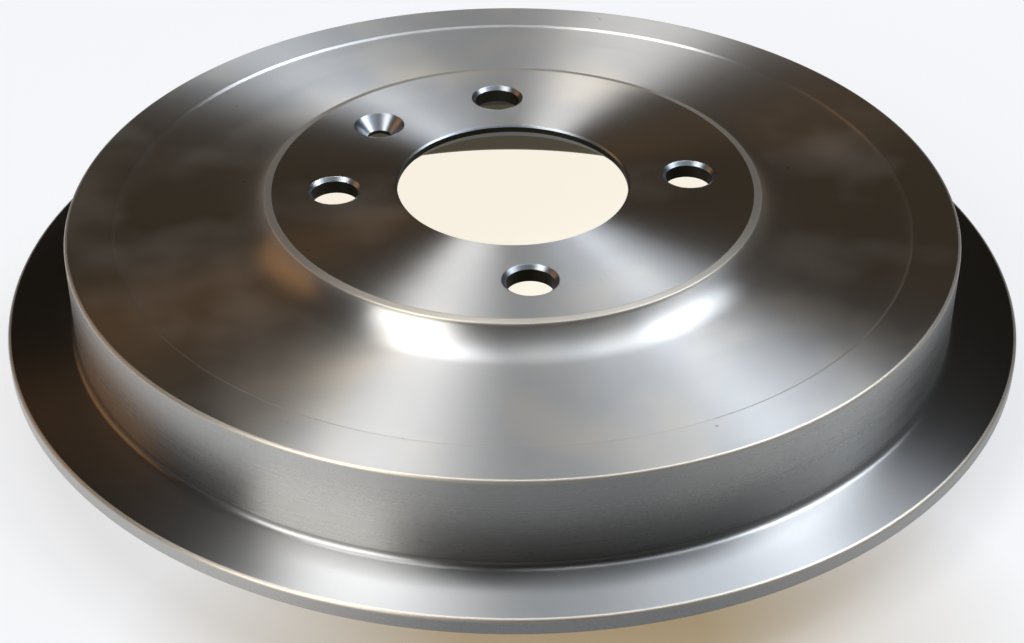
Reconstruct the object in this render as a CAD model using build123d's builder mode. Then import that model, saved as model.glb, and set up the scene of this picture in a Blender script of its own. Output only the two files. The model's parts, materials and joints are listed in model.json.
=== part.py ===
from build123d import *

import os

# Brake drum: one iron casting, turned on its hub side, its rim and its brake track.
#
# The drum stands on its open mouth. The origin is the centre of the mouth's plane, and +Z
# runs along the axis towards the wheel. Sizes are in millimetres.

# --- Heights, measured up from the mouth ---------------------------------------------------
drum_height = 55.5        # mouth to wheel face
pad_height = 7.1          # wheel face above the web around it
pad_thickness = 4.8       # wheel face to hub seat
web_thickness = 5.6       # web, between the pad and the brake wall
flange_drop = 33.1        # wheel face down to the flange's upper side
flange_thickness = 4.6

# --- Diameters and radial thicknesses ------------------------------------------------------
track_diameter = 228.6    # brake track, 9 inches
wall_thickness = 10.8     # brake wall, above the flange
skirt_thickness = 8.2     # wall below the flange
flange_reach = 18.5       # how far the flange stands out from the brake wall
ring_width = 13.8         # raised ring around the web
bore_diameter = 65.0      # fits over the hub's spigot
pad_diameter = 139.6
neck_run = 9.0            # the sweep below the pad runs out this far from its side
hub_seat_inset = 5.8      # the flat seat for the hub, inside, is smaller than the pad by this

# --- Wheel bolts and fixing screw ----------------------------------------------------------
bolt_count = 4
bolt_circle_diameter = 100.0
bolt_hole_diameter = 13.0
bolt_hole_chamfer = 1.0
screw_circle_diameter = 102.0
screw_hole_diameter = 7.0
screw_sink_diameter = 14.4
screw_sink_angle = 90.0
screw_azimuth = 135.0     # half-way between two bolt holes

# --- Edges, corners and small steps --------------------------------------------------------
bore_edge_break = 0.5
bore_lead_in = 2.6        # chamfer on the hub side of the bore
pad_rim_width = 2.0       # the pad's face falls away a little over its last millimetres
pad_rim_drop = 0.3
pad_edge_chamfer = 0.4
pad_side_height = 1.0     # upright part of the pad's side, above the sweep
step_height = 0.5
step_run = 0.6
body_edge_chamfer = 0.8
flange_root_radius = 2.0
flange_edge_chamfer = 0.8
flange_back_chamfer = 0.5
skirt_root_chamfer = 2.0
skirt_edge_chamfer = 1.0
mouth_chamfer = 1.0
relief_depth = 1.0        # undercut at the track's inner end
relief_width = 4.0
web_root_chamfer = 3.0    # track relief into the web's underside
seat_draft = 4.0          # the recess over the hub seat opens out by this much on the radius
seat_corner_chamfer = 1.5

# --- Derived heights and radii -------------------------------------------------------------
wheel_face = drum_height
hub_seat = wheel_face - pad_thickness
web_top = wheel_face - pad_height
web_underside = web_top - web_thickness
ring_top = web_top + step_height
flange_top = wheel_face - flange_drop
flange_underside = flange_top - flange_thickness
track_end = web_underside - relief_width

bore_radius = bore_diameter / 2
pad_radius = pad_diameter / 2
neck_foot_radius = pad_radius + neck_run
hub_seat_radius = pad_radius - hub_seat_inset
track_radius = track_diameter / 2
relief_radius = track_radius + relief_depth
body_radius = track_radius + wall_thickness
step_radius = body_radius - ring_width
flange_radius = body_radius + flange_reach
skirt_radius = track_radius + skirt_thickness
recess_mouth_radius = hub_seat_radius + seat_draft

with BuildPart() as brake_drum:
    # The section, radius to the right and height upwards, turned once about the axis.
    with BuildSketch(Plane.XZ) as section:
        with BuildLine():
            # Wheel side: bore, pad face with its falling rim, and the pad's upright side.
            pad_side_foot = (pad_radius, wheel_face - pad_rim_drop - pad_side_height)
            Polyline(
                (bore_radius, hub_seat + bore_lead_in),
                (bore_radius, wheel_face - bore_edge_break),
                (bore_radius + bore_edge_break, wheel_face),
                (pad_radius - pad_rim_width, wheel_face),
                (pad_radius, wheel_face - pad_rim_drop),
                pad_side_foot,
            )
            # The sweep from the pad's side leaves the web tangentially.
            neck_foot = (neck_foot_radius, web_top)
            TangentArc(neck_foot, pad_side_foot, tangent=(-1, 0))
            # Web, raised ring, wall, flange and skirt, then the track and the web's underside.
            Polyline(
                neck_foot,
                (step_radius, web_top),
                (step_radius + step_run, ring_top),
                (body_radius, ring_top),
                (body_radius, flange_top),
                (flange_radius, flange_top),
                (flange_radius, flange_underside),
                (skirt_radius, flange_underside),
                (skirt_radius, 0),
                (track_radius + mouth_chamfer, 0),
                (track_radius, mouth_chamfer),
                (track_radius, track_end),
                (relief_radius, track_end + relief_depth),
                (relief_radius, web_underside),
                (recess_mouth_radius, web_underside),
                (hub_seat_radius, hub_seat),
                (bore_radius + bore_lead_in, hub_seat),
                (bore_radius, hub_seat + bore_lead_in),
            )
        make_face()

        def corner(radius, height):
            """The section's corner that lies nearest to this radius and height."""
            return section.vertices().sort_by_distance(Vector(radius, height))[0]

        chamfer(corner(pad_radius, wheel_face - pad_rim_drop), pad_edge_chamfer)
        chamfer(corner(body_radius, ring_top), body_edge_chamfer)
        fillet(corner(body_radius, flange_top), flange_root_radius)
        chamfer(corner(flange_radius, flange_top), flange_edge_chamfer)
        chamfer(corner(flange_radius, flange_underside), flange_back_chamfer)
        chamfer(corner(skirt_radius, flange_underside), skirt_root_chamfer)
        chamfer(corner(skirt_radius, 0), skirt_edge_chamfer)
        chamfer(corner(relief_radius, web_underside), web_root_chamfer)
        chamfer(corner(recess_mouth_radius, web_underside), seat_corner_chamfer)
        chamfer(corner(hub_seat_radius, hub_seat), seat_corner_chamfer)
    revolve(axis=Axis.Z)

    # Wheel-bolt holes, each with a chamfered mouth on the wheel face.
    with Locations((0, 0, wheel_face)):
        with PolarLocations(bolt_circle_diameter / 2, bolt_count):
            CounterSinkHole(
                radius=bolt_hole_diameter / 2,
                counter_sink_radius=bolt_hole_diameter / 2 + bolt_hole_chamfer,
                counter_sink_angle=90,
            )
        # One countersunk hole for the screw that holds the drum on its hub.
        with PolarLocations(screw_circle_diameter / 2, 1, start_angle=screw_azimuth):
            CounterSinkHole(
                radius=screw_hole_diameter / 2,
                counter_sink_radius=screw_sink_diameter / 2,
                counter_sink_angle=screw_sink_angle,
            )

brake_drum.part.label = "brake_drum"

os.makedirs("parts", exist_ok=True)
export_step(brake_drum.part, "parts/brake_drum.step")
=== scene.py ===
import json
from math import cos, radians, sin

import bmesh
import bpy
import numpy as np
from mathutils import Matrix, Vector


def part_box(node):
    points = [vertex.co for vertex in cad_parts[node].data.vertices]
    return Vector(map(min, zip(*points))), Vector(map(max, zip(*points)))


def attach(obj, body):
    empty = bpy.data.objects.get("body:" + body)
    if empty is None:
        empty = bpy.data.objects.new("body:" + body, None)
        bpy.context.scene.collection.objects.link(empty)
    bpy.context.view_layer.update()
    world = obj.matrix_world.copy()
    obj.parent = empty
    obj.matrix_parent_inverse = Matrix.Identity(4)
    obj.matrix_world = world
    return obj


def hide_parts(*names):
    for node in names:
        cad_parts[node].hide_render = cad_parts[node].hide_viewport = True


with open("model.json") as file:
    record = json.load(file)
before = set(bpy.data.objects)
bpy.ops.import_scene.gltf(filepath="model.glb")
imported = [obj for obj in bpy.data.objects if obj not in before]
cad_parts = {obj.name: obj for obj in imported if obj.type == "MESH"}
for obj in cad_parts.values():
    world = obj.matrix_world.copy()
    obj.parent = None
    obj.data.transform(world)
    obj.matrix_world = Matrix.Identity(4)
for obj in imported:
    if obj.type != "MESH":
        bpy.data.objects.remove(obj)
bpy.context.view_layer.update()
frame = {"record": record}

# ------------------------------------------------------------------------------------------
# The turned section.
# The drum is one iron casting. Its wheel side, wall, flange, skirt and brake track are turned
# on a lathe, so the whole form is one section carried round the axis.
# ------------------------------------------------------------------------------------------
mm = 0.001
mounts = {mount["name"]: mount for mount in frame["record"]["mounts"]}
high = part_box("brake_drum")[1]

# Heights above the mouth, and radii, the same as the solid's.
drum_height = high[2]
flange_radius = high[0]
bore_radius = mounts["centre_bore"]["dims"]["r_mm"] * mm
track_radius = mounts["brake_track"]["dims"]["r_mm"] * mm
hub_seat = mounts["hub_seat"]["pos_m"][2]
web_top = drum_height - 7.1 * mm
web_underside = web_top - 5.6 * mm
ring_top = web_top + 0.5 * mm
flange_top = drum_height - 33.1 * mm
flange_underside = flange_top - 4.6 * mm
track_end = web_underside - 4.0 * mm
pad_radius = 69.8 * mm
hub_seat_radius = pad_radius - 5.8 * mm
body_radius = track_radius + 10.8 * mm
step_radius = body_radius - 13.8 * mm
skirt_radius = track_radius + 8.2 * mm
relief_radius = track_radius + 1.0 * mm

# The pad's face falls away a little at its rim, then a short upright side leads into the neck.
pad_rim_width = 2.0 * mm
pad_rim_drop = 0.3 * mm
pad_side_foot = drum_height - 1.3 * mm

# The neck's arc runs from the side's foot to the web, neck_run out and neck_drop down. Its two
# end tangents meet neck_tangent from either end, and its radius follows from their turn.
neck_run = 9.0 * mm
neck_drop = pad_side_foot - web_top
neck_tangent = (neck_run**2 + neck_drop**2) / (2 * neck_run)
neck_turn = 2 * np.arctan2(neck_drop, neck_run)
neck_radius = neck_tangent / np.tan(neck_turn / 2)
neck_share = 0.999    # of that radius, so that the arc starts just past the side's foot

# The flange is flat. Only its shading normals lean outward by this much, a choice of look that
# brightens the flange's front.
flange_lean = np.radians(10)

# The flat annulus that holds the bolt holes is made apart, between these two radii.
holes_from = 40 * mm
holes_to = 60 * mm

FACE, EDGE, WALL, FLANGE, TRACK, CAST, BORED_SHADE, BEVEL = range(8)
# Each corner: radius, height, rounding, the rounding's finish, and the finish up to the next.
# Two pairs of roundings overlap, so the surface folds back on itself there in a hairline: by
# 0.06 mm below the foot of the pad's side, and by 0.12 mm under the relief's root.
outer_corners = [
    (holes_to, drum_height, 0, FACE, FACE),
    (pad_radius - pad_rim_width, drum_height, 3.0 * mm, EDGE, EDGE),
    (pad_radius, drum_height - pad_rim_drop, 0.45 * mm, EDGE, FACE),
    (pad_radius, pad_side_foot, 0.3 * mm, FACE, FACE),
    (pad_radius + neck_run - neck_tangent, web_top, neck_radius * neck_share, FACE, FACE),
    (step_radius, web_top, 0.2 * mm, FACE, FACE),
    (step_radius + 0.8 * mm, ring_top, 0.2 * mm, FACE, FACE),
    (body_radius, ring_top, 0.9 * mm, EDGE, WALL),
    (body_radius, flange_top, 2.0 * mm, FLANGE, FLANGE),
    (flange_radius, flange_top, 0.9 * mm, EDGE, WALL),
    (flange_radius, flange_underside, 0.6 * mm, EDGE, WALL),
    (skirt_radius, flange_underside, 2.2 * mm, WALL, WALL),
    (skirt_radius, 0, 1.0 * mm, WALL, WALL),
    (track_radius + 1.0 * mm, 0, 0.15 * mm, WALL, WALL),
    (track_radius, 1.0 * mm, 0.15 * mm, TRACK, TRACK),
    (track_radius, track_end, 0.15 * mm, WALL, WALL),
    (relief_radius, track_end + 1.0 * mm, 0.3 * mm, WALL, WALL),
    (relief_radius, web_underside, 3.0 * mm, CAST, CAST),
    (hub_seat_radius + 4.0 * mm, web_underside, 1.5 * mm, CAST, CAST),
    (hub_seat_radius, hub_seat, 1.5 * mm, CAST, FACE),
    (holes_to, hub_seat, 0, FACE, FACE),
]
bore_corners = [
    (holes_from, hub_seat, 0, FACE, FACE),
    (bore_radius + 2.6 * mm, hub_seat, 0.2 * mm, BEVEL, BEVEL),
    (bore_radius, hub_seat + 2.6 * mm, 0.2 * mm, BEVEL, BORED_SHADE),
    (bore_radius, drum_height - 0.5 * mm, 0.15 * mm, BEVEL, BEVEL),
    (bore_radius + 0.5 * mm, drum_height, 0.15 * mm, BEVEL, FACE),
    (holes_from, drum_height, 0, FACE, FACE),
]


def rounded(corners, arc_points=8):
    """Section points, outward normals, path length and finish, from a chain of corners.

    At a corner with unit directions a in and b out, which turn by t, the arc of rounding R
    starts R tan(t / 2) before the corner. Its points are start + R (a sin s + c (1 - cos s))
    for s from 0 to t, where c is square to a on b's side. The normal is the arc's direction
    turned left, but on the flange's flat top it leans outward by flange_lean.
    """
    table = np.array(corners, float)
    place, rounding, finishes = table[:, :2], table[1:-1, 2, None, None], table[:, 3:].astype(int)
    step = np.diff(place, axis=0)
    step /= np.linalg.norm(step, axis=1, keepdims=True)
    a, b = step[:-1], step[1:]
    cross = a[:, 0] * b[:, 1] - a[:, 1] * b[:, 0]
    turn = np.arccos(np.clip((a * b).sum(1), -1, 1))
    side = np.stack([-a[:, 1], a[:, 0]], 1) * np.sign(cross)[:, None]
    start = place[1:-1] - a * (rounding[:, 0] * np.tan(turn / 2)[:, None])
    s = turn[:, None, None] * np.linspace(0, 1, arc_points)[None, :, None]
    arcs = start[:, None] + rounding * (a[:, None] * np.sin(s) + side[:, None] * (1 - np.cos(s)))
    along = a[:, None] * np.cos(s) + side[:, None] * np.sin(s)
    points = np.concatenate([place[:1], arcs.reshape(-1, 2), place[-1:]])
    heading = np.concatenate([step[:1], along.reshape(-1, 2), step[-1:]])
    normals = np.stack([-heading[:, 1], heading[:, 0]], 1)
    length = np.concatenate([[0], np.cumsum(np.linalg.norm(np.diff(points, axis=0), axis=1))])
    leaning = (np.abs(points[:, 1] - flange_top) < 0.001 * mm) & (normals[:, 1] > 0.99)
    normals[leaning] = (np.sin(flange_lean), np.cos(flange_lean))
    finish = np.repeat(finishes[1:-1], [arc_points - 1, 1], axis=1).ravel()
    return points, normals, length, np.append(finishes[0, 1], finish)


def sheet(points, normals, uv, finish):
    """A grid of points as vertices, quads, normals, UVs and one finish for each quad."""
    rows, columns = points.shape[:2]
    index = np.arange(rows * columns).reshape(rows, columns)
    quads = np.stack([index[:-1, :-1], index[1:, :-1], index[1:, 1:], index[:-1, 1:]], -1)
    finishes = np.broadcast_to(np.reshape(finish, (-1, 1)), (rows - 1, columns - 1))
    return (points.reshape(-1, 3), quads.reshape(-1, 4), normals.reshape(-1, 3),
            uv.reshape(-1, 2), finishes.reshape(-1))


turn_steps = 360


def spun(corners, start_length=0.0):
    """The section carried round the axis: (r cos t, r sin t, z), with u the turn, v the length."""
    points, normals, length, finish = rounded(corners)
    t = np.linspace(0, 2 * np.pi, turn_steps + 1)
    ring = np.stack([np.cos(t), np.sin(t)], -1)
    place = np.concatenate([points[:, None, :1] * ring, np.broadcast_to(
        points[:, None, 1:], (len(points), len(t), 1))], -1)
    normal = np.concatenate([normals[:, None, :1] * ring, np.broadcast_to(
        normals[:, None, 1:], (len(points), len(t), 1))], -1)
    uv = np.stack(np.broadcast_arrays(t / (2 * np.pi), start_length + length[:, None]), -1)
    return sheet(place, normal, uv, finish)


# ------------------------------------------------------------------------------------------
# The wheel-bolt holes and the fixing-screw hole.
# Four drilled holes with chamfered mouths take the wheel bolts. A smaller countersunk hole
# half-way between two of them takes the screw that keeps the drum on its hub.
# ------------------------------------------------------------------------------------------
bolt_mount = mounts["wheel_bolts"]["dims"]
bolt_circle = bolt_mount["pcd_mm"] / 2 * mm
bolt_radius = bolt_mount["hole_r_mm"] * mm
bolt_chamfer = 1.0 * mm
hole_lip = 0.2 * mm    # the flat kept round each mouth, past its rounded edge
screw_place = np.array(mounts["fixing_screw"]["pos_m"][:2])
screw_radius = mounts["fixing_screw"]["dims"]["r_mm"] * mm
screw_sink = 7.2 * mm    # the countersink's radius at the face
cell_half = 12    # turn steps from a hole's middle line to the side of its cell
cell_rows = 20

bolt_turns = np.arange(bolt_mount["count"]) * 2 * np.pi / bolt_mount["count"]
holes = [(bolt_circle * np.cos(t), bolt_circle * np.sin(t), bolt_radius, bolt_chamfer)
         for t in bolt_turns]
holes.append((*screw_place, screw_radius, screw_sink - screw_radius))


def cell_edge(centre_turn):
    """The closed outline of a cell, as radius and turn, anticlockwise from its inner corner."""
    turn_step = 2 * np.pi / turn_steps
    across = np.arange(-cell_half, cell_half) * turn_step
    up = np.linspace(holes_from, holes_to, cell_rows + 1)[:-1]
    side = cell_half * turn_step
    radius = np.concatenate([up, np.full(2 * cell_half, holes_to), holes_to + holes_from - up,
                             np.full(2 * cell_half, holes_from)])
    turn = np.concatenate([np.full(cell_rows, -side), across, np.full(cell_rows, side), -across])
    radius, turn = np.append(radius, radius[0]), np.append(turn, turn[0]) + centre_turn
    return radius, turn


def holed_cell(hole, height, mouth_radius, facing):
    """The flat cell round one hole: straight lines from the hole's rim to the cell's outline."""
    x, y = hole[:2]
    radius, turn = cell_edge(np.arctan2(y, x))
    edge = np.stack([radius * np.cos(turn), radius * np.sin(turn)], -1)
    bearing = np.arctan2(edge[:, 1] - y, edge[:, 0] - x)
    rim = np.stack([x + mouth_radius * np.cos(bearing), y + mouth_radius * np.sin(bearing)], -1)
    share = np.linspace(0, 1, 6)[:, None, None]
    flat = rim + share * (edge - rim)
    place = np.concatenate([flat, np.full(flat.shape[:2] + (1,), height)], -1)
    normal = np.broadcast_to([0, 0, float(facing)], place.shape)
    around = np.unwrap(np.arctan2(flat[..., 1], flat[..., 0]), axis=1)
    uv = np.stack([around / (2 * np.pi), np.hypot(flat[..., 0], flat[..., 1])], -1)
    if facing < 0:
        place, normal, uv = place[::-1], normal[::-1], uv[::-1]
    return sheet(place, normal, uv, FACE)


def hole_wall(hole):
    """The hole's own section, carried round its axis with the same bearings as its cell."""
    x, y, radius, chamfer = hole
    corners = [(radius + hole_lip, hub_seat, 0, FACE, FACE),
               (radius, hub_seat, 0.1 * mm, BORED_SHADE, BORED_SHADE),
               (radius, drum_height - chamfer, 0.1 * mm, BEVEL, BEVEL),
               (radius + chamfer, drum_height, 0.2 * mm, BEVEL, FACE),
               (radius + chamfer + hole_lip, drum_height, 0, FACE, FACE)]
    points, normals, length, finish = rounded(corners, arc_points=4)
    edge_radius, turn = cell_edge(np.arctan2(y, x))
    bearing = np.unwrap(np.arctan2(edge_radius * np.sin(turn) - y, edge_radius * np.cos(turn) - x))
    ring = np.stack([np.cos(bearing), np.sin(bearing)], -1)
    flat = points[:, None, :1] * ring + [x, y]
    heights = np.broadcast_to(points[:, None, 1:], flat.shape[:2] + (1,))
    rises = np.broadcast_to(normals[:, None, 1:], flat.shape[:2] + (1,))
    place = np.concatenate([flat, heights], -1)
    normal = np.concatenate([normals[:, None, :1] * ring, rises], -1)
    uv = np.stack(np.broadcast_arrays(bearing / (2 * np.pi), length[:, None]), -1)
    return sheet(place, normal, uv, finish)


def plain_cell(from_turn, to_turn, height, facing):
    """The flat stretch of the annulus between two holes' cells, from step to step of the turn."""
    steps = int(round((to_turn - from_turn) / (2 * np.pi) * turn_steps))
    t = np.linspace(from_turn, to_turn, steps + 1)
    r = np.linspace(holes_from, holes_to, cell_rows + 1)[:, None]
    place = np.stack(np.broadcast_arrays(r * np.cos(t), r * np.sin(t), height), -1)
    normal = np.broadcast_to([0, 0, float(facing)], place.shape)
    uv = np.stack(np.broadcast_arrays(t / (2 * np.pi), r), -1)
    if facing < 0:
        place, normal, uv = place[::-1], normal[::-1], uv[::-1]
    return sheet(place, normal, uv, FACE)


sheets = [spun(outer_corners, holes_to), spun(bore_corners)]
cell_side = cell_half * 2 * np.pi / turn_steps
hole_turns = np.sort([np.arctan2(y, x) % (2 * np.pi) for x, y, *rest in holes])
gap_starts = hole_turns + cell_side
gap_ends = np.append(hole_turns[1:], hole_turns[0] + 2 * np.pi) - cell_side
for hole in holes:
    sheets.append(hole_wall(hole))
    sheets.append(holed_cell(hole, drum_height, hole[2] + hole[3] + hole_lip, 1))
    sheets.append(holed_cell(hole, hub_seat, hole[2] + hole_lip, -1))
for start, end in zip(gap_starts, gap_ends):
    sheets.append(plain_cell(start, end, drum_height, 1))
    sheets.append(plain_cell(start, end, hub_seat, -1))

counts = np.cumsum([0] + [len(part[0]) for part in sheets[:-1]])
points = np.concatenate([part[0] for part in sheets])
quads = np.concatenate([part[1] + count for part, count in zip(sheets, counts)])
normals = np.concatenate([part[2] for part in sheets])
uv = np.concatenate([part[3] for part in sheets])
finish_ids = np.concatenate([part[4] for part in sheets])

drum_mesh = bpy.data.meshes.new("brake_drum_turned")
drum_mesh.from_pydata(points, [], quads)
drum_mesh.uv_layers.new(name="turning").uv.foreach_set("vector", uv[quads.ravel()].ravel())
drum_mesh.polygons.foreach_set("material_index", finish_ids)
drum_mesh.polygons.foreach_set("use_smooth", np.ones(len(quads), bool))
drum_mesh.attributes.new("true_normal", "FLOAT_VECTOR", "POINT").data.foreach_set(
    "vector", normals.ravel())
drum = bpy.data.objects.new("brake_drum_turned", drum_mesh)
bpy.context.scene.collection.objects.link(drum)

# Close the seams between the sheets, then give each vertex the section's own normal.
work = bmesh.new()
work.from_mesh(drum_mesh)
bmesh.ops.remove_doubles(work, verts=work.verts, dist=0.002 * mm)
work.to_mesh(drum_mesh)
work.free()
kept = np.empty(len(drum_mesh.vertices) * 3)
drum_mesh.attributes["true_normal"].data.foreach_get("vector", kept)
drum_mesh.normals_split_custom_set_from_vertices(kept.reshape(-1, 3))
drum_mesh.attributes.remove(drum_mesh.attributes["true_normal"])


# ------------------------------------------------------------------------------------------
# The finishes.
# Most of the iron is bare off the lathe, brighter on the wheel side and duller on the flange.
# The web's underside is left as cast, and narrow cuts and broken edges are plain. The walls of
# the bore and the holes are near-black: painted shade.
# ------------------------------------------------------------------------------------------
def node(tree, kind, inputs=None, **settings):
    """One shader node, with its settings, and its inputs linked or set."""
    made = tree.nodes.new(kind)
    for name, value in settings.items():
        setattr(made, name, value)
    for name, value in (inputs or {}).items():
        if isinstance(value, bpy.types.NodeSocket):
            tree.links.new(value, made.inputs[name])
        else:
            made.inputs[name].default_value = value
    return made


def arithmetic(tree, operation, *values):
    """One Math node's result."""
    return node(tree, "ShaderNodeMath", dict(enumerate(values)), operation=operation).outputs[0]


def spread(tree, value, low, high, to_low, to_high):
    """A value carried from one range to another, held at its ends."""
    return node(tree, "ShaderNodeMapRange", {"Value": value, "From Min": low, "From Max": high,
                "To Min": to_low, "To Max": to_high}).outputs[0]


# The tangent runs along the tool marks. A quarter turn lays the wide side of the gloss across.
quarter_turn = 0.25


def finish_shader(name, **inputs):
    """A material with one Principled shader, its sockets given by name with _ for a space."""
    material = bpy.data.materials.new(name)
    material.use_nodes = True
    tree = material.node_tree
    tree.nodes.clear()
    shader = node(tree, "ShaderNodeBsdfPrincipled")
    node(tree, "ShaderNodeOutputMaterial", {"Surface": shader.outputs[0]})
    tangent = node(tree, "ShaderNodeTangent", direction_type="UV_MAP", uv_map="turning")
    tree.links.new(tangent.outputs[0], shader.inputs["Tangent"])
    shader.inputs["Metallic"].default_value = 1.0
    shader.inputs["Anisotropic Rotation"].default_value = quarter_turn
    for socket, value in inputs.items():
        shader.inputs[socket.replace("_", " ")].default_value = value
    return material, tree, shader


# Rates are in features for each metre, and a swing is how far each moves the roughness.
marks_round, marks_scale, marks_swing = 1.5, 0.5, 0.015
pore_rate, pore_swing = 900.0, 0.08
film_rate, film_swing = 22.0, 0.03
film_tone = (0.68, 0.62, 0.54, 1)
dust_tint, dust_spread = (0.9, 0.68, 0.45, 1), 0.6
pit_rate, pit_share, pit_strength = 330.0, 0.012, 0.75
pit_core, pit_edge = 0.04, 0.2    # as shares of a pit's own cell
pit_tone = (0.14, 0.12, 0.1, 1)


def turned_iron(name, colour, roughness, anisotropy, feed=0.5 * mm, depth=0.002 * mm,
                dust=0.0, film=0.0, grain=0.0):
    """Bare iron off the lathe, its gloss stretched across the tool marks.

    The marks are noise over radius less height, nearly even round the turn. Dust is a thin
    even veil, film is dried oil in soft patches with a few small pits, and grain is the iron's
    own pores, on the walls and the cast skin.
    """
    material, tree, shader = finish_shader(name, Base_Color=(*colour, 1), Anisotropic=anisotropy,
                                           Sheen_Weight=dust, Sheen_Roughness=dust_spread,
                                           Sheen_Tint=dust_tint)
    place = node(tree, "ShaderNodeTexCoord").outputs["Object"]
    x, y, z = node(tree, "ShaderNodeSeparateXYZ", {0: place}).outputs
    flat = node(tree, "ShaderNodeCombineXYZ", {0: x, 1: y}).outputs[0]
    radius = node(tree, "ShaderNodeVectorMath", {0: flat}, operation="LENGTH").outputs["Value"]
    bearing = node(tree, "ShaderNodeVectorMath", {0: flat}, operation="NORMALIZE").outputs[0]
    across = arithmetic(tree, "DIVIDE", arithmetic(tree, "SUBTRACT", radius, z), feed)
    around = node(tree, "ShaderNodeVectorMath", {0: bearing, 1: (marks_round, marks_round, 0)},
                  operation="MULTIPLY").outputs[0]
    lift = node(tree, "ShaderNodeCombineXYZ", {2: across}).outputs[0]
    pattern = node(tree, "ShaderNodeVectorMath", {0: around, 1: lift}, operation="ADD").outputs[0]
    marks = node(tree, "ShaderNodeTexNoise", {"Vector": pattern, "Scale": marks_scale,
                 "Detail": 5.0, "Roughness": 0.6}).outputs[0]
    rough = spread(tree, marks, 0.3, 0.7, roughness - marks_swing, roughness + marks_swing)
    height = marks
    if grain:
        pores = node(tree, "ShaderNodeTexNoise", {"Vector": place, "Scale": pore_rate,
                     "Detail": 3.0, "Roughness": 0.6}).outputs[0]
        height = arithmetic(tree, "MULTIPLY_ADD", pores, grain, marks)
        swing = arithmetic(tree, "SUBTRACT", pores, 0.5)
        rough = arithmetic(tree, "MULTIPLY_ADD", swing, pore_swing * grain, rough)
    if film:
        patch = node(tree, "ShaderNodeTexNoise", {"Vector": place, "Scale": film_rate,
                     "Detail": 3.0, "Roughness": 0.5}).outputs[0]
        cloud = spread(tree, patch, 0.5, 0.75, 0, 1)
        rough = arithmetic(tree, "MULTIPLY_ADD", cloud, film_swing, rough)
        metal = spread(tree, cloud, 0, 1, 1, 1 - film)
        tree.links.new(metal, shader.inputs["Metallic"])
        stained = node(tree, "ShaderNodeMix", {"Factor": cloud, "A": (*colour, 1),
                       "B": film_tone}, data_type="RGBA").outputs["Result"]
        speck = node(tree, "ShaderNodeTexVoronoi", {"Vector": place, "Scale": pit_rate})
        dot = spread(tree, speck.outputs["Distance"], pit_core, pit_edge, pit_strength, 0)
        chosen = node(tree, "ShaderNodeSeparateXYZ", {0: speck.outputs["Color"]}).outputs[0]
        dot = arithmetic(tree, "MULTIPLY", dot, arithmetic(tree, "LESS_THAN", chosen, pit_share))
        pitted = node(tree, "ShaderNodeMix", {"Factor": dot, "A": stained,
                      "B": pit_tone}, data_type="RGBA").outputs["Result"]
        tree.links.new(pitted, shader.inputs["Base Color"])
    bump = node(tree, "ShaderNodeBump", {"Height": height, "Strength": 1.0, "Distance": depth})
    tree.links.new(bump.outputs[0], shader.inputs["Normal"])
    tree.links.new(rough, shader.inputs["Roughness"])
    return material


def plain_iron(name, colour, roughness, anisotropy, metal=1.0):
    """Iron in a narrow cut or on a broken edge, too small to show its tool marks."""
    return finish_shader(name, Base_Color=(*colour, 1), Roughness=roughness,
                         Anisotropic=anisotropy, Metallic=metal)[0]


finishes = [
    turned_iron("turned_face", (0.56, 0.555, 0.55), 0.364, 0.977, dust=0.14, film=0.06),
    plain_iron("broken_edge", (0.58, 0.53, 0.46), 0.42, 0.65, metal=0.87),
    turned_iron("turned_wall", (0.51, 0.505, 0.49), 0.28, 0.82, feed=0.2 * mm,
                depth=0.001 * mm, grain=0.2),
    turned_iron("turned_flange", (0.345, 0.342, 0.34), 0.31, 0.86),
    turned_iron("brake_track", (0.46, 0.43, 0.34), 0.42, 0.9, feed=0.25 * mm),
    turned_iron("cast_skin", (0.2, 0.195, 0.19), 0.6, 0.0, feed=3 * mm, depth=0.05 * mm,
                grain=1.0),
    # Painted shade: the walls of the bore and the holes are near-black, far darker than bare iron.
    plain_iron("bored_wall", (0.05, 0.047, 0.038), 0.35, 0.5),
    plain_iron("bevel", (0.42, 0.45, 0.48), 0.35, 0.7),
]
for material in finishes:
    drum_mesh.materials.append(material)

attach(drum, "root")
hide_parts("brake_drum")

# ------------------------------------------------------------------------------------------
# The floor: a wide sheet of pale paper that the drum stands on.
# It gives off its own light to the camera and to mirror rays, in tones chosen for this one
# view, and a darker diffuse coat keeps the drum's shadow. The glow carries a painted shadow at
# the drum's front, painted light within the skirt, and painted shade in what the metal reflects.
# ------------------------------------------------------------------------------------------
floor_half = 2.5
shadow_coat = (0.26, 0.265, 0.275, 1)
far_tone = (0.64, 0.64, 0.645, 1)
# Painted light: the paper within the skirt lies in the drum's shade but glows a bright cream.
painted_light_inside_tone = (0.93, 0.87, 0.75, 1)    # the paper within the skirt, seen through the bore
inside_blend = 6 * mm

# A painted shadow: a tan glow under the front of the flange and just ahead of it, an oval
# longer along x.
painted_shadow_tone = (0.33, 0.25, 0.14, 1)
painted_shadow_shape = (0.66, 1, 0)
painted_shadow_centre = (0.004, -0.128, 0)
painted_shadow_core, painted_shadow_edge = 0.02, 0.078

# Mirror rays get a share of the glow, which paints shade into the floor that the metal reflects:
# less to the right, least in an oval ahead of the drum, and inside_share within the skirt.
left_x, right_x = -0.12, 0.08
left_share, right_share = 0.85, 0.42
ahead_shape = (1, 0.35, 0)
ahead_centre = (0.006, -0.077, 0)
ahead_core, ahead_edge, painted_shade_ahead_share = 0.045, 0.1, 0.1
inside_share = 0.25

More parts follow.
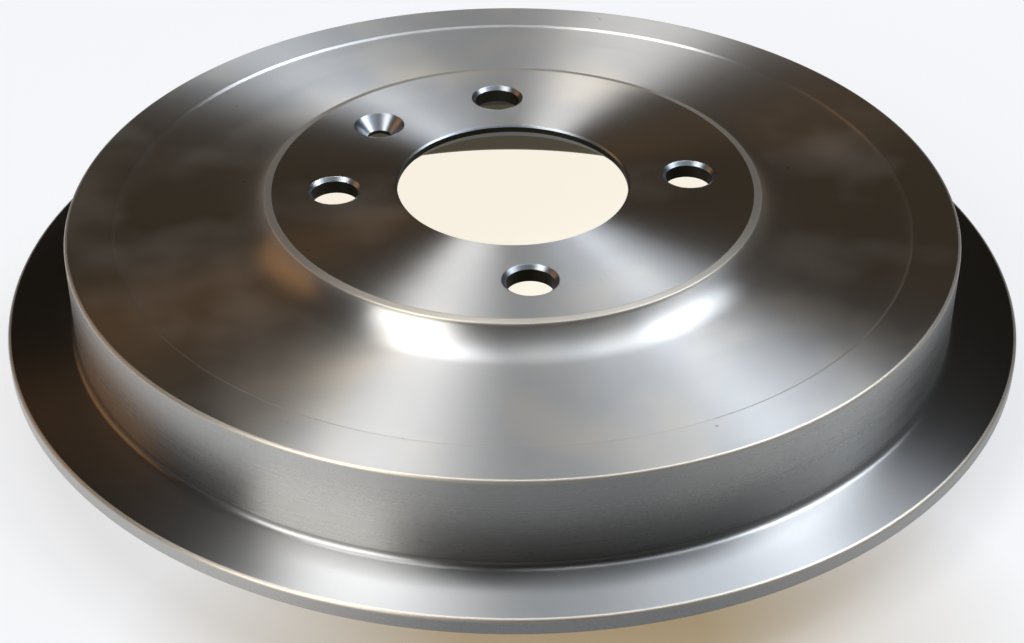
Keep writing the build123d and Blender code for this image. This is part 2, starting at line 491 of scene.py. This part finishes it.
floor_mesh = bpy.data.meshes.new("floor")
floor_mesh.from_pydata([(-floor_half, -floor_half, 0), (floor_half, -floor_half, 0),
                        (floor_half, floor_half, 0), (-floor_half, floor_half, 0)],
                       [], [(0, 1, 2, 3)])
floor = bpy.data.objects.new("floor", floor_mesh)
bpy.context.scene.collection.objects.link(floor)
paper = bpy.data.materials.new("paper")
paper.use_nodes = True
tree = paper.node_tree
tree.nodes.clear()
place = node(tree, "ShaderNodeTexCoord").outputs["Object"]
x, y = node(tree, "ShaderNodeSeparateXYZ", {0: place}).outputs[:2]
flat = node(tree, "ShaderNodeCombineXYZ", {0: x, 1: y}).outputs[0]
radius = node(tree, "ShaderNodeVectorMath", {0: flat}, operation="LENGTH").outputs["Value"]
inside = spread(tree, radius, skirt_radius - inside_blend, skirt_radius, 1, 0)


def oval_distance(shape, centre):
    """The distance of a floor point, scaled by shape, from a centre."""
    scaled = node(tree, "ShaderNodeVectorMath", {0: flat, 1: shape}, operation="MULTIPLY")
    return node(tree, "ShaderNodeVectorMath", {0: scaled.outputs[0], 1: centre},
                operation="DISTANCE").outputs["Value"]


# Painted shadow: the glow is tan near the drum's front and fades to the far tone.
beyond_painted_shadow = spread(tree, oval_distance(painted_shadow_shape, painted_shadow_centre), painted_shadow_core, painted_shadow_edge, 0, 1)
tone = node(tree, "ShaderNodeMix", {"Factor": beyond_painted_shadow, "A": painted_shadow_tone, "B": far_tone},
            data_type="RGBA").outputs["Result"]
tone = node(tree, "ShaderNodeMix", {"Factor": inside, "A": tone, "B": painted_light_inside_tone},
            data_type="RGBA").outputs["Result"]
rays = node(tree, "ShaderNodeLightPath").outputs
# Painted shade in reflections: less glow to the right and ahead of the drum.
painted_shade_outside = arithmetic(tree, "MULTIPLY",
                     spread(tree, x, left_x, right_x, left_share, right_share),
                     spread(tree, oval_distance(ahead_shape, ahead_centre), ahead_core,
                            ahead_edge, painted_shade_ahead_share, 1))
share = node(tree, "ShaderNodeMix", {0: inside, 2: painted_shade_outside, 3: inside_share}).outputs[0]
mirrored = arithmetic(tree, "MULTIPLY", rays["Is Glossy Ray"], share)
seen = arithmetic(tree, "MAXIMUM", rays["Is Camera Ray"], mirrored)
seen = arithmetic(tree, "MAXIMUM", seen, rays["Is Transmission Ray"])
glow = node(tree, "ShaderNodeEmission", {"Color": tone, "Strength": seen}).outputs[0]
sheet_shade = node(tree, "ShaderNodeBsdfDiffuse", {"Color": shadow_coat}).outputs[0]
both = node(tree, "ShaderNodeAddShader", {0: sheet_shade, 1: glow}).outputs[0]
node(tree, "ShaderNodeOutputMaterial", {"Surface": both})
floor_mesh.materials.append(paper)

# ------------------------------------------------------------------------------------------
# Light: four soft panels high up, a large window at the front left, a faint one at the right and
# a low warm card at the left, in a dim warm room. Bearings and heights are in degrees, the
# bearings anticlockwise from the right of the view.
# ------------------------------------------------------------------------------------------
face_centre = Vector((0, 0, drum_height))
view_turn = radians(-5.42)    # lamps and camera together, about the drum's axis
turned = Matrix.Rotation(view_turn, 4, "Z")
lamp_distance = 2.0


def panel(name, bearing, height, width, depth, watts, colour):
    """A soft rectangular lamp, lamp_distance from the wheel face along a bearing and height."""
    lamp = bpy.data.lights.new(name, "AREA")
    lamp.shape = "RECTANGLE"
    lamp.size, lamp.size_y = width, depth
    lamp.energy = watts
    lamp.color = colour
    holder = bpy.data.objects.new(name, lamp)
    bpy.context.scene.collection.objects.link(holder)
    level = cos(radians(height))
    towards = turned @ Vector((level * cos(radians(bearing)), level * sin(radians(bearing)),
                               sin(radians(height))))
    holder.location = face_centre + towards * lamp_distance
    holder.rotation_euler = towards.to_track_quat("Z", "Y").to_euler()


panel("left_overhead_panel", 156, 75, 0.95, 0.6, 13, (0.95, 0.97, 1))
panel("ceiling_panel", 25, 82, 1.0, 0.6, 5, (0.88, 0.94, 1))
panel("right_overhead_panel", 28, 65, 0.85, 0.65, 9.6, (0.84, 0.91, 1))
panel("right_high_panel", 14, 50, 0.75, 0.85, 15, (0.84, 0.91, 1))
panel("left_window", 225, 32, 1.1, 1.3, 22, (1, 0.99, 0.96))
panel("right_window", 345, 30, 0.9, 0.9, 1, (1, 1, 0.98))
panel("warm_card", 160, 22, 1.2, 0.8, 2, (1, 0.5, 0.2))

room_glow = (0.017, 0.0125, 0.0075, 1)
room = bpy.data.worlds.new("room")
bpy.context.scene.world = room
room.use_nodes = True
background = room.node_tree.nodes["Background"]
background.inputs["Color"].default_value = room_glow
background.inputs["Strength"].default_value = 1.0

# ------------------------------------------------------------------------------------------
# Camera: a long lens ahead of the drum and above it, looking down on the wheel face. The face's
# centre lies aim_right to the right of the optical axis and aim_up above it.
# ------------------------------------------------------------------------------------------
image_width = 1024
focal_pixels = 2040.6
camera_fall = radians(34.6)    # the optical axis below level
camera_roll = radians(0.18)
camera_distance = 0.5738
aim_right, aim_up = 0.0002, 0.0392

camera_data = bpy.data.cameras.new("camera")
camera_data.sensor_width = 36
camera_data.lens = focal_pixels / image_width * camera_data.sensor_width
camera = bpy.data.objects.new("camera", camera_data)
bpy.context.scene.collection.objects.link(camera)
forward = Vector((0, cos(camera_fall), -sin(camera_fall)))
level_right = Vector((1, 0, 0))
level_up = level_right.cross(forward)
right = cos(camera_roll) * level_right + sin(camera_roll) * level_up
up = cos(camera_roll) * level_up - sin(camera_roll) * level_right
stand = -forward * camera_distance - right * aim_right - up * aim_up
pose = Matrix((right, up, -forward)).transposed().to_4x4()
pose.translation = stand
camera.matrix_world = Matrix.Translation(face_centre) @ turned @ pose
bpy.context.scene.camera = camera
bpy.context.scene.view_settings.view_transform = "Standard"
